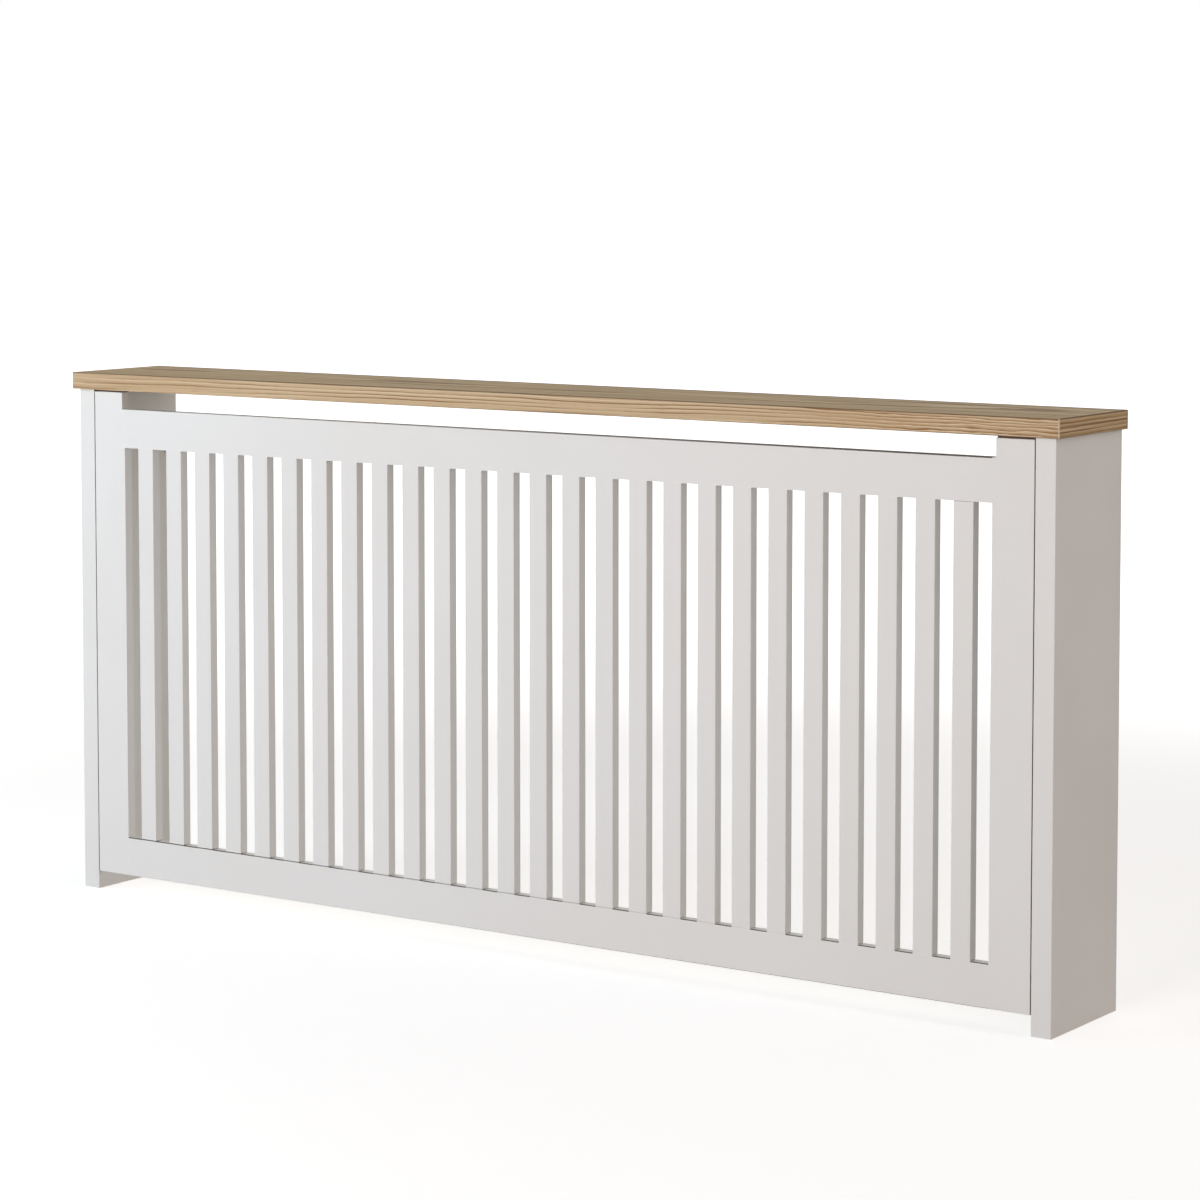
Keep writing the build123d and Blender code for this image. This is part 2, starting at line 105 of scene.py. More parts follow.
class Graph:
    """A material's or world's node tree, written as nested calls instead of loose links."""

    def __init__(self, tree: bpy.types.NodeTree) -> None:
        """Takes over a node tree and empties it."""
        self.tree = tree
        self.tree.nodes.clear()

    def node(self, kind: str, inputs: Dict[Any, Input] | None = None, **settings: Any) -> bpy.types.Node:
        """Adds a node, sets its properties and fills or links its inputs.

        Args:
            kind: the node's Blender class name.
            inputs: values or sockets by input name or number.
            **settings: the node's own properties.

        Returns:
            The new node.
        """
        made = self.tree.nodes.new(kind)
        for name, value in settings.items():
            setattr(made, name, value)
        for key, value in (inputs or {}).items():
            if isinstance(value, Socket):
                self.tree.links.new(value, made.inputs[key])
            else:
                made.inputs[key].default_value = value
        return made

    def math(self, operation: str, first: Input, second: Input = 0.0, third: Input = 0.0) -> Socket:
        """One arithmetic step on numbers."""
        made = self.node("ShaderNodeMath", {0: first, 1: second, 2: third}, operation=operation)
        return made.outputs[0]

    def add(self, *terms: Input) -> Socket:
        """The sum of two or more numbers."""
        return reduce(partial(self.math, "ADD"), terms)

    def times(self, *factors: Input) -> Socket:
        """The product of two or more numbers."""
        return reduce(partial(self.math, "MULTIPLY"), factors)

    def larger(self, first: Input, second: Input) -> Socket:
        """The larger of two numbers."""
        return self.math("MAXIMUM", first, second)

    def remap(
        self, value: Input, low: float, high: float, to_low: float = 0.0, to_high: float = 1.0
    ) -> Socket:
        """Carries one range smoothly to another, and stays inside that.

        Args:
            value: the number to carry over.
            low: the number that becomes to_low. It may be the greater one.
            high: the number that becomes to_high.
            to_low: the result at low.
            to_high: the result at high.

        Returns:
            The result.
        """
        made = self.node(
            "ShaderNodeMapRange",
            {"Value": value, "From Min": low, "From Max": high, "To Min": to_low, "To Max": to_high},
            interpolation_type="SMOOTHSTEP",
        )
        return made.outputs["Result"]

    def blend(self, share: Input, first: Input, second: Input) -> Socket:
        """A colour between two others.

        Args:
            share: how much of the second colour shows, 0 to 1.
            first: a colour or colour socket.
            second: a colour or colour socket.

        Returns:
            The colour socket.
        """
        ends = [end if isinstance(end, Socket) else rgba(end) for end in (first, second)]
        inputs = {0: share, MIX_FIRST: ends[0], MIX_SECOND: ends[1]}
        return self.node("ShaderNodeMix", inputs, data_type="RGBA").outputs[MIX_RESULT]

    def place(self) -> Socket:
        """The point's place in the cover's own frame, in metres."""
        return self.node("ShaderNodeTexCoord").outputs["Object"]

    def split(self, vector: Input) -> List[Socket]:
        """The three numbers of a vector."""
        return list(self.node("ShaderNodeSeparateXYZ", {0: vector}).outputs)

    def join(self, x: Input, y: Input, z: Input) -> Socket:
        """A vector of three numbers."""
        return self.node("ShaderNodeCombineXYZ", {0: x, 1: y, 2: z}).outputs[0]

    def noise(
        self, vector: Input, waves: float = 1.0, detail: float = 2.0, roughness: float = 0.5
    ) -> Socket:
        """Soft noise about 0.5, with its waves in a metre and its number of finer layers."""
        inputs = {"Vector": vector, "Scale": waves, "Detail": detail, "Roughness": roughness}
        return self.node("ShaderNodeTexNoise", inputs, noise_dimensions="3D").outputs[0]

    def bump(self, height: Input, depth: float) -> Socket:
        """A normal that follows a height of 0 to 1 times the given depth in metres."""
        inputs = {"Height": height, "Distance": depth, "Strength": 1.0}
        return self.node("ShaderNodeBump", inputs).outputs[0]

    def surface(self, inputs: Dict[Any, Input]) -> None:
        """Ends a material in one Principled shader with these inputs."""
        shader = self.node("ShaderNodeBsdfPrincipled", inputs)
        self.node("ShaderNodeOutputMaterial", {"Surface": shader.outputs[0]})


def new_material(name: str) -> Tuple[bpy.types.Material, Graph]:
    """An empty node material.

    Args:
        name: the material's name.

    Returns:
        The material and its graph.
    """
    material = bpy.data.materials.new(name)
    material.use_nodes = True
    return material, Graph(material.node_tree)


# ---------------- tones laid over a finish


@dataclass(frozen=True)
class Band:
    """A soft step along one axis: nothing at start, all of it at full."""

    axis: Axis
    start: float
    full: float

    def share(self, g: Graph, xyz: List[Socket]) -> Socket:
        """How far inside the band a point is, 0 to 1."""
        return g.remap(xyz[self.axis.value], self.start, self.full)


@dataclass(frozen=True)
class Comb:
    """Equal bands at an even pitch along one axis, each as wide to both sides of its middle."""

    axis: Axis
    first_middle: float
    pitch: float
    half_width: float
    soft: float = 0.3 * MM

    def share(self, g: Graph, xyz: List[Socket]) -> Socket:
        """How far inside a band a point is, from its distance to the nearest middle.

        Args:
            g: the material's graph.
            xyz: the point's place in the cover's frame.

        Returns:
            1 inside a band and 0 between two.
        """
        place = g.add(xyz[self.axis.value], -self.first_middle)
        away = g.math("PINGPONG", place, self.pitch / 2)
        return g.remap(away, self.half_width + self.soft, self.half_width)


@dataclass(frozen=True)
class Patch:
    """A tone laid over a finish where all its bands meet."""

    bands: Tuple[Union[Band, Comb], ...]
    tone: Colour
    strength: float

    def lay(self, g: Graph, xyz: List[Socket], colour: Input) -> Socket:
        """Blends the tone in.

        Args:
            g: the material's graph.
            xyz: the point's place in the cover's frame.
            colour: the colour so far.

        Returns:
            The colour with the patch on it.
        """
        share: Input = self.strength
        for band in self.bands:
            share = g.times(band.share(g, xyz), share)
        return g.blend(share, colour, self.tone)


# ---------------- paint


@dataclass(frozen=True)
class PaintedBoard:
    """Satin white paint, rolled on board.

    It has a faint orange-peel skin over the roller's stipple and a slightly uneven tone. Its arrises
    are lighter, partly wear and partly a painted highlight, and the faces that look up are darker,
    partly dust and partly painted shade. A Span gives where a tone begins and where it is full, or
    how the roughness changes there.
    """

    name: str = "white_paint"
    patches: Tuple[Patch, ...] = ()
    colour: Colour = (0.80, 0.795, 0.785)
    shaded_tone: Colour = (0.76, 0.745, 0.72)
    shaded_from: Span = (0.35, 0.75)
    shaded_strength: float = 0.35
    # A lighter arris tone: partly wear, partly a painted highlight.
    worn_and_highlit_edge: Colour = (0.86, 0.85, 0.83)
    worn_turn: Span = (0.995, 0.93)
    worn_waves: float = 60.0
    worn_from: Span = (0.42, 0.62)
    wear_and_highlight_strength: float = 0.55
    worn_roughness: float = -0.08
    edge_reach: float = 1.6 * MM
    edge_samples: int = 4
    # A darker tone on the faces that look up: partly dust, partly painted shade under the shelf and in the
    # slots.
    dust_and_shade: Colour = (0.42, 0.39, 0.35)
    dust_and_shade_slope: Span = (0.8, 0.97)
    dust_and_shade_strength: float = 0.25
    roughness: float = 0.42
    gloss: float = 0.4
    cloud_size: float = 220.0 * MM
    cloud_from: Span = (0.3, 0.7)
    cloud_roughness: Span = (-0.04, 0.05)
    peel_size: float = 1.4 * MM
    peel_height: float = 0.7
    stipple_ratio: float = 0.12
    stipple_height: float = 0.6
    skin_depth: float = 0.025 * MM

    def arrises(self, g: Graph, flat: Socket) -> Socket:
        """Finds the arrises, by the cosine between the face's normal and one rounded over the edge.

        Args:
            g: the material's graph.
            flat: the face's own normal.

        Returns:
            1 along an arris and 0 on a flat face.
        """
        rounded = g.node("ShaderNodeBevel", {"Radius": self.edge_reach}, samples=self.edge_samples)
        turn = g.node("ShaderNodeVectorMath", {0: rounded.outputs[0], 1: flat}, operation="DOT_PRODUCT")
        return g.remap(turn.outputs["Value"], *self.worn_turn)

    def tone(self, g: Graph, place: Socket, flat: Socket, cloud: Socket, arris: Socket) -> Socket:
        """The paint's colour: clouds, wear and painted highlight, dust and painted shade, and patches.

        Args:
            g: the material's graph.
            place: the point's place in the cover's frame.
            flat: the face's own normal.
            cloud: the slow change of tone.
            arris: 1 along an arris.

        Returns:
            The colour.
        """
        shaded = g.remap(cloud, *self.shaded_from, 0.0, self.shaded_strength)
        colour = g.blend(shaded, self.colour, self.shaded_tone)
        # Lighter arrises: wear and a painted highlight.
        wear_and_highlight = g.remap(g.noise(place, self.worn_waves, detail=3.0), *self.worn_from)
        colour = g.blend(g.times(arris, wear_and_highlight, self.wear_and_highlight_strength), colour, self.worn_and_highlit_edge)
        # Faces that look up are darker: dust and painted shade.
        looks_up = g.remap(g.split(flat)[Axis.Z.value], *self.dust_and_shade_slope)
        colour = g.blend(g.times(looks_up, self.dust_and_shade_strength), colour, self.dust_and_shade)
        xyz = g.split(place)
        for patch in self.patches:
            colour = patch.lay(g, xyz, colour)
        return colour

    def build(self) -> bpy.types.Material:
        """Makes the material.

        Returns:
            The finished material.
        """
        material, g = new_material(self.name)
        place = g.place()
        flat = g.node("ShaderNodeNewGeometry").outputs["Normal"]
        cloud = g.noise(place, 1 / self.cloud_size, detail=3.0)
        arris = self.arrises(g, flat)
        peel = g.noise(place, 1 / self.peel_size, detail=1.5)
        stipple = g.noise(place, self.stipple_ratio / self.peel_size, detail=2.0)
        height = g.add(g.times(peel, self.peel_height), g.times(stipple, self.stipple_height))
        clouded = g.remap(cloud, *self.cloud_from, *self.cloud_roughness)
        g.surface(
            {
                "Base Color": self.tone(g, place, flat, cloud, arris),
                "Roughness": g.add(clouded, g.times(arris, self.worn_roughness), self.roughness),
                "Specular IOR Level": self.gloss,
                "Normal": g.bump(height, self.skin_depth),
            }
        )
        return material


# ---------------- oak


@dataclass(frozen=True)
class Figure:
    """A soft pattern drawn out along the grain, by its waves in a metre along and across it."""

    along: float
    across: float
    shift: float = 0.0
    detail: float = 2.0
    roughness: float = 0.5

    def draw(self, g: Graph, parts: List[Socket], seed: float) -> Socket:
        """The pattern at a point.

        Args:
            g: the material's graph.
            parts: the point along, across and through the board.
            seed: the board's own shift of all its patterns.

        Returns:
            A number about 0.5.
        """
        waves = (self.along, self.across, self.across)
        shift = seed + self.shift
        moved = [g.math("MULTIPLY_ADD", part, wave, shift) for part, wave in zip(parts, waves)]
        return g.noise(g.join(*moved), detail=self.detail, roughness=self.roughness)


@dataclass(frozen=True)
class HeartLine:
    """The middle of the log: its place across and through the board, and its slope through it."""

    across: float
    through: float
    slope: float = 0.0


@dataclass(frozen=True)
class Crowding:
    """The stretch of a board, from start to full, over which its rings close up.

    They close up about the ring that lies at reach from the heart line. Their waves grow, their
    lines and late wood grow stronger, and their second lines fade.
    """

    start: float = 350.0 * MM
    full: float = 750.0 * MM
    reach: float = 0.0
    closer: float = 0.0
    waves: float = 0.0
    strength: float = 0.0
    second_strength: float = 0.1
    late_strength: float = 0.3


@dataclass(frozen=True)
class OakTones:
    """The colours of the wood."""

    light: Colour = (0.626, 0.477, 0.301)
    tan: Colour = (0.556, 0.395, 0.230)
    pale: Colour = (0.78, 0.63, 0.44)
    dark: Colour = (0.245, 0.118, 0.040)


@dataclass(frozen=True)
class Ring:
    """One growth ring, from 0 where its early wood begins to 1 where its late wood ends.

    A Span gives where a part of it begins and where that part is full.
    """

    early_share: float = 0.24
    early_rise: float = 0.06
    early_fall: float = 0.12
    tail_end: float = 0.85
    tail_strength: float = 0.25
    second_rise: Span = (0.52, 0.57)
    second_fall: Span = (0.72, 0.60)
    late_rise: Span = (0.60, 0.85)
    late_fall: Span = (1.0, 0.95)

    def early(self, g: Graph, turn: Socket) -> Socket:
        """The thin dark line of early wood, 0 to 1."""
        fall = g.remap(turn, self.early_share + self.early_fall, self.early_share)
        return g.times(g.remap(turn, 0.0, self.early_rise), fall)

    def tail(self, g: Graph, turn: Socket) -> Socket:
        """The tan that the early wood fades through, 0 to 1."""
        return g.times(g.remap(turn, self.tail_end, self.early_share), self.tail_strength)

    def second(self, g: Graph, turn: Socket) -> Socket:
        """The thinner line past the middle of some rings, 0 to 1."""
        return g.times(g.remap(turn, *self.second_rise), g.remap(turn, *self.second_fall))

    def late(self, g: Graph, turn: Socket) -> Socket:
        """The pale band of late wood, 0 to 1."""
        return g.times(g.remap(turn, *self.late_rise), g.remap(turn, *self.late_fall))


class Wood(NamedTuple):
    """What the wood shows at a point, each 0 to 1."""

    line: Socket
    late: Socket
    pore: Socket
    streak: Socket
    cloud: Socket


@dataclass(frozen=True)
class OakGrain:
    """Oak under a matt lacquer, cut from a log whose heart line runs beside the face.

    The growth rings are circles about the heart line. Each begins with a thin dark line of
    porous early wood and fades through tan to a pale band of late wood, and some have a second
    line. The lines are stronger on some rings than on others. axes are the cover's axes along,
    across and through the board.
    """

    name: str
    axes: Tuple[Axis, Axis, Axis]
    heart: HeartLine
    seed: float
    ring_width: float
    wander: float
    ripple: float
    ring: Ring = Ring()
    crowding: Crowding = Crowding()
    tones: OakTones = OakTones()
    patches: Tuple[Patch, ...] = ()

    bend_figure: Figure = Figure(1.3, 7.0)
    ripple_figure: Figure = Figure(4.5, 45.0, shift=3.1)
    quiver_figure: Figure = Figure(24.0, 190.0, shift=6.2)
    spread_figure: Figure = Figure(0.7, 40.0, shift=7.7, detail=1.0)
    pore_figure: Figure = Figure(55.0, 1700.0, roughness=0.6)
    streak_figure: Figure = Figure(5.0, 330.0, shift=1.3, detail=3.0, roughness=0.6)
    cloud_figure: Figure = Figure(1.6, 14.0, shift=9.0)

    ripple_share: float = 2.0
    quiver_share: float = 0.9
    spread_rings: float = 1.6
    first_ring: float = 40.0
    strength_step: float = 5.7
    strength_waves: float = 2.4
    strength_from: Span = (0.36, 0.62)
    faintest: float = 0.2
    second_from: Span = (0.55, 0.42)
    second_strength: float = 0.5
    late_strength: float = 0.55
    line_strength: float = 0.9
    cloud_from: Span = (0.35, 0.65)
    streak_from: Span = (0.35, 0.75)
    streak_strength: float = 0.5
    pore_from: Span = (0.54, 0.70)
    pore_in_line: float = 0.8
    pore_anywhere: float = 0.2
    pore_strength: float = 0.6
    pore_height: float = -0.8
    line_height: float = -0.25
    streak_height: float = 0.2
    relief: float = 0.05 * MM
    gloss: float = 0.25
    roughness: float = 0.62
    pore_roughness: float = 0.12
    cloud_roughness: float = 0.08

    def ring_number(self, g: Graph, parts: List[Socket], crowd: Socket) -> Socket:
        """Which growth ring a point lies in, and where in it.

        The number is the distance from the heart line over the ring width. The heart line slopes
        through the board and bends, the rings ripple and quiver, and some lie wider apart than
        others. Where they crowd, the distance past the crowding's reach counts for more.

        Args:
            g: the material's graph.
            parts: the point along, across and through the board.
            crowd: how closed up the rings are, 0 to 1.

        Returns:
            The ring number, whose fraction is the place within the ring.
        """
        along, across, through = parts
        bend, ripple, quiver = (
            g.math("SUBTRACT", figure.draw(g, parts, self.seed), NOISE_MIDDLE)
            for figure in (self.bend_figure, self.ripple_figure, self.quiver_figure)
        )
        waves = g.add(g.times(ripple, self.ripple_share), g.times(quiver, self.quiver_share))
        growth = g.add(g.times(crowd, self.crowding.waves), 1.0)
        drift = g.add(g.times(bend, self.wander), g.times(waves, self.ripple, growth))
        side = g.add(across, -self.heart.across, drift)
        depth = g.add(through, -self.heart.through, g.times(along, self.heart.slope), drift)
        radius = g.math("SQRT", g.add(g.times(side, side), g.times(depth, depth)))
        closer = g.add(g.times(crowd, self.crowding.closer), 1.0)
        beyond = g.times(g.add(radius, -self.crowding.reach), closer)
        spread = g.times(self.spread_figure.draw(g, parts, self.seed), self.spread_rings)
        return g.add(g.times(beyond, 1 / self.ring_width), spread, self.first_ring)

    def wood(self, g: Graph, parts: List[Socket]) -> Wood:
        """The lines, late wood, pores, streaks and clouds at a point.

        Args:
            g: the material's graph.
            parts: the point along, across and through the board.

        Returns:
            How much of each it shows.
        """
        crowd = g.remap(parts[0], self.crowding.start, self.crowding.full)
        number = self.ring_number(g, parts, crowd)
        turn = g.math("FRACT", number)
        step = g.times(g.math("FLOOR", number), self.strength_step)
        vary = g.noise(g.join(g.add(step, self.seed), g.times(parts[0], self.strength_waves), 0.0))
        strong = g.larger(
            g.remap(vary, *self.strength_from, self.faintest, 1.0),
            g.times(crowd, self.crowding.strength),
        )
        early = self.ring.early(g, turn)
        first = g.times(g.larger(early, self.ring.tail(g, turn)), strong)
        fading = g.times(crowd, self.crowding.second_strength - self.second_strength)
        second_strength = g.add(fading, self.second_strength)
        second = g.times(self.ring.second(g, turn), g.remap(vary, *self.second_from), second_strength)
        late_strength = g.add(g.times(crowd, self.crowding.late_strength), self.late_strength)
        pores = g.remap(self.pore_figure.draw(g, parts, self.seed), *self.pore_from)
        return Wood(
            line=g.larger(first, second),
            late=g.times(self.ring.late(g, turn), strong, late_strength),
            pore=g.times(pores, g.add(g.times(early, self.pore_in_line), self.pore_anywhere)),
            streak=self.streak_figure.draw(g, parts, self.seed),
            cloud=self.cloud_figure.draw(g, parts, self.seed),
        )

    def tone(self, g: Graph, wood: Wood) -> Socket:
        """The wood's colour.

        Args:
            g: the material's graph.
            wood: what the wood shows.

        Returns:
            The colour.
        """
        streak = g.remap(wood.streak, *self.streak_from, 0.0, self.streak_strength)
        colour = g.blend(g.remap(wood.cloud, *self.cloud_from), self.tones.light, self.tones.tan)
        colour = g.blend(streak, colour, self.tones.tan)
        colour = g.blend(wood.late, colour, self.tones.pale)
        colour = g.blend(g.times(wood.line, self.line_strength), colour, self.tones.dark)
        return g.blend(g.times(wood.pore, self.pore_strength), colour, self.tones.dark)

    def build(self) -> bpy.types.Material:
        """Makes the material.

        Returns:
            The finished material.
        """
        material, g = new_material(self.name)
        xyz = g.split(g.place())
        wood = self.wood(g, [xyz[axis.value] for axis in self.axes])
        colour = self.tone(g, wood)
        for patch in self.patches:
            colour = patch.lay(g, xyz, colour)
        height = g.add(
            g.times(wood.pore, self.pore_height),
            g.times(wood.line, self.line_height),
            g.times(wood.streak, self.streak_height),
        )
        roughness = g.add(
            g.times(wood.pore, self.pore_roughness),
            g.times(wood.cloud, self.cloud_roughness),
            self.roughness,
        )
        g.surface(
            {
                "Base Color": colour,
                "Roughness": roughness,
                "Specular IOR Level": self.gloss,
                "Normal": g.bump(height, self.relief),
            }
        )
        return material


# ---------------- beech and metal


@dataclass(frozen=True)
class BeechDowel:
    """Unfinished beech: pale, even, with short brown flecks."""

    name: str = "beech_dowel"
    colour: Colour = (0.62, 0.45, 0.29)
    brown: Colour = (0.38, 0.24, 0.13)
    fleck_waves: float = 900.0
    fleck_from: Span = (0.58, 0.7)
    fleck_strength: float = 0.5
    cloud_waves: float = 90.0
    cloud_from: Span = (0.3, 0.7)
    cloud_strength: float = 0.3
    roughness: float = 0.7
    relief: float = 0.05 * MM

    def build(self) -> bpy.types.Material:
        """Makes the material.

        Returns:
            The finished material.
        """
        material, g = new_material(self.name)
        place = g.place()
        fleck = g.remap(g.noise(place, self.fleck_waves), *self.fleck_from)
        cloud = g.remap(g.noise(place, self.cloud_waves), *self.cloud_from, 0.0, self.cloud_strength)
        browned = g.add(g.times(fleck, self.fleck_strength), cloud)
        g.surface(
            {
                "Base Color": g.blend(browned, self.colour, self.brown),
                "Roughness": self.roughness,
                "Normal": g.bump(fleck, self.relief),
            }
        )
        return material


@dataclass(frozen=True)
class Metal:
    """A small metal fitting: a cast or plated skin with a fine grain and dulled patches."""

    name: str
    colour: Colour
    dull: Colour
    roughness: float
    grain_size: float
    grain_depth: float
    dull_waves: float = 120.0
    dull_from: Span = (0.4, 0.7)
    dull_strength: float = 0.6
    dull_roughness: float = 0.18

    def build(self) -> bpy.types.Material:
        """Makes the material.

        Returns:
            The finished material.
        """
        material, g = new_material(self.name)
        place = g.place()
        grain = g.noise(place, 1 / self.grain_size)
        dulled = g.remap(g.noise(place, self.dull_waves, detail=3.0), *self.dull_from)
        g.surface(
            {
                "Base Color": g.blend(g.times(dulled, self.dull_strength), self.colour, self.dull),
                "Metallic": 1.0,
                "Roughness": g.add(g.times(dulled, self.dull_roughness), self.roughness),
                "Normal": g.bump(grain, self.grain_depth),
            }
        )
        return material


# ---------------- nodes and new pieces


def slat_names(nodes: Nodes) -> List[str]:
    """The slats' nodes, from left to right."""
    return sorted(name for name in nodes if name.startswith("slat_"))


def dress(nodes: Nodes, names: Sequence[str], material: bpy.types.Material) -> None:
    """Gives packed boards and fittings their finish.

    Args:
        nodes: the frame's nodes by name.
        names: the nodes to dress.
        material: their finish.
    """
    for name in names:
        for slot in nodes[name].material_slots:
            slot.material = material
        LOG.info("dressed %s in %s", name, material.name)


def bars(name: str, points: np.ndarray) -> bpy.types.Object:
    """Closed bars in one object, each a ring of points carried from station to station along +X.

    Neighbouring rings are joined by four-sided faces and the first and last ring are closed by flat
    ones. The rings run anticlockwise seen from +X, so every face points outwards.

    Args:
        name: the object's name.
        points: the places, by bar, station, point of the ring and coordinate.

    Returns:
        The object, linked to the scene.
    """
    count, stations, ring, _ = points.shape
    index = np.arange(count * stations * ring).reshape(count, stations, ring)
    turned = np.roll(index, -1, axis=2)
    sides = np.stack([index[:, :-1], turned[:, :-1], turned[:, 1:], index[:, 1:]], axis=-1).reshape(-1, 4)
    caps = np.concatenate([index[:, 0, ::-1], index[:, -1]])
    mesh = bpy.data.meshes.new(name)
    mesh.from_pydata(points.reshape(-1, 3).tolist(), [], sides.tolist() + caps.tolist())
    piece = bpy.data.objects.new(name, mesh)
    bpy.context.scene.collection.objects.link(piece)
    return piece


# ---------------- the cover's sub-assemblies


@dataclass
class Shelf:
    """The oak-faced board with its three edging strips, each with its own heart line.

    The lower arrises carry painted shade and the upper and left ones are simply darker, the front
    right one is rubbed pale, and a painted shadow lies along the wall edge of the board and of the
    end strips. The end strips have one strong dark and one cream line each.
    """

    # A dark tone: painted shade on the lower arrises and along the wall, a darker upper and left arris,
    # and the end strips' dark grain line.
    shade_and_grain_dark: Colour = (0.13, 0.075, 0.036)
    rubbed: Colour = (0.82, 0.69, 0.52)
    upper_arris: float = 2.0 * MM
    lower_arris: float = 1.5 * MM
    left_arris: float = 1.5 * MM
    rubbed_arris: float = 1.5 * MM
    back_arris: float = 4.0 * MM
    # How far the painted shadow along the wall edge reaches.
    wall_shadow: float = 18.0 * MM
    full_share: float = 0.35
    front_lower_span: Span = (-500.0 * MM, 100.0 * MM)
    dark_line_height: float = 0.56
    dark_line_fade: float = 200.0 * MM
    cream_line_height: float = 0.36
    cream_line_reach: float = 40.0 * MM
    end_line_width: float = 2.0 * MM
    face_heart_across: float = 20.0 * MM
    face_heart_depth: float = 50.0 * MM
    front_heart_depth: float = 60.0 * MM
    end_heart_depth: float = 80.0 * MM
    # The top face's own tones, darker than the strips', partly standing in for the dimmer light on the
    # top.
    face_tones: OakTones = OakTones(
        light=(0.55, 0.411, 0.218),
        tan=(0.50, 0.365, 0.187),
        pale=(0.67, 0.53, 0.33),
        dark=(0.20, 0.122, 0.052),
    )
    # Warmer tones for the end strips: a painted shade tint on the shaded ends.
    end_tones: OakTones = OakTones(light=(0.62, 0.458, 0.254), tan=(0.55, 0.380, 0.194))

    def edge_tone(self, axis: Axis, edge: float, inward: float, tone: Colour, strength: float) -> Patch:
        """A tone along one edge of a board. Inward is its reach into the face, with its sign."""
        return Patch((Band(axis, edge + inward, edge + self.full_share * inward),), tone, strength)

    def end_line(
        self, height: float, y_none: float, y_full: float, tone: Colour, strength: float
    ) -> Patch:
        """One strong growth line along an end strip.

        Args:
            height: where the line's middle is, as a share of the strip's height from below.
            y_none: where along the strip the line has faded out.
            y_full: where it is at its strongest.
            tone: the line's colour.
            strength: how much of it shows.

        Returns:
            The patch.
        """
        low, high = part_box("top_right_edging")
        middle = low.z + height * (high.z - low.z)
        below = Band(Axis.Z, middle - self.end_line_width / 2, middle)
        above = Band(Axis.Z, middle + self.end_line_width / 2, middle)
        return Patch((below, above, Band(Axis.Y, y_none, y_full)), tone, strength)

    def upper_and_lower(self) -> Tuple[Patch, Patch]:
        """The darker arrises along a strip: painted shade on the lower one, a darker line on the upper
        one.

        Returns:
            The tone of the upper one and of the lower one.
        """
        low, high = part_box("top_front_edging")
        upper = self.edge_tone(Axis.Z, high.z, -self.upper_arris, self.shade_and_grain_dark, strength=0.85)
        return upper, self.edge_tone(Axis.Z, low.z, self.lower_arris, self.shade_and_grain_dark, strength=0.75)

    def face(self) -> OakGrain:
        """The board's own grain, with its heart line under the face.

        Returns:
            The finish.
        """
        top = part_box("top_front_edging")[1].z
        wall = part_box("top_right_edging")[1].y
        return OakGrain(
            "oak_face",
            (Axis.X, Axis.Y, Axis.Z),
            HeartLine(self.face_heart_across, top - self.face_heart_depth, slope=0.03),
            seed=0.0,
            ring_width=14.0 * MM,
            wander=50.0 * MM,
            ripple=2.4 * MM,
            ring=Ring(early_share=0.28, tail_strength=0.4),
            crowding=Crowding(strength=0.75),
            tones=self.face_tones,
            # Painted shadow along the wall edge.
            patches=(self.edge_tone(Axis.Y, wall, -self.wall_shadow, self.shade_and_grain_dark, strength=0.75),),
            line_strength=0.85,
        )

    def front_strip(self) -> OakGrain:
        """The front strip's grain, whose rings close up towards the right.

        Returns:
            The finish.
        """
        low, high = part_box("top_front_edging")
        upper, lower = self.upper_and_lower()
        to_right = Band(Axis.X, *self.front_lower_span)
        return OakGrain(
            "oak_front_edging",
            (Axis.X, Axis.Z, Axis.Y),
            HeartLine((low.z + high.z) / 2 - self.front_heart_depth, low.y),
            seed=4.0,
            ring_width=6.4 * MM,
            wander=30.0 * MM,
            ripple=1.6 * MM,
            crowding=Crowding(reach=self.front_heart_depth, closer=0.4, waves=2.2, strength=0.85),
            patches=(
                upper,
                # The lower arris: painted shade, fading out to the left.
                replace(lower, bands=(*lower.bands, to_right)),
                self.edge_tone(Axis.X, low.x, self.left_arris, self.shade_and_grain_dark, strength=0.5),
                self.edge_tone(Axis.X, high.x, -self.rubbed_arris, self.rubbed, strength=0.9),
            ),
            faintest=0.03,
            second_strength=0.3,
        )

    def end_strip(self, side: Side) -> OakGrain:
        """An end strip's grain.

        Args:
            side: the end that the strip is on.

        Returns:
            The finish.
        """
        low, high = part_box("top_front_edging")
        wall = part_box("top_right_edging")[1].y
        dark_from = low.y - self.dark_line_fade
        cream_to = low.y + self.cream_line_reach
        return OakGrain(
            f"oak_{side.word}_edging",
            (Axis.Y, Axis.Z, Axis.X),
            HeartLine(low.z - self.end_heart_depth, low.x if side is Side.LEFT else high.x),
            seed=8.0,
            ring_width=6.0 * MM,
            wander=12.0 * MM,
            ripple=2.2 * MM,
            ring=Ring(early_share=0.34),
            tones=self.end_tones,
            patches=(
                self.end_line(self.dark_line_height, dark_from, wall, self.shade_and_grain_dark, strength=0.85),
                self.end_line(self.cream_line_height, wall, cream_to, self.rubbed, strength=0.7),
                *self.upper_and_lower(),
                # Painted shadow along the wall edge.
                self.edge_tone(Axis.Y, wall, -self.back_arris, self.shade_and_grain_dark, strength=0.8),
            ),
            faintest=0.45,
            line_strength=1.0,
        )

    def dress(self, nodes: Nodes) -> None:
        """Gives the board and its strips their grain.

        Args:
            nodes: the frame's nodes by name.
        """
        dress(nodes, ["top_board"], self.face().build())
        dress(nodes, ["top_front_edging"], self.front_strip().build())
        for side in Side:
            dress(nodes, [f"top_{side.word}_edging"], self.end_strip(side).build())


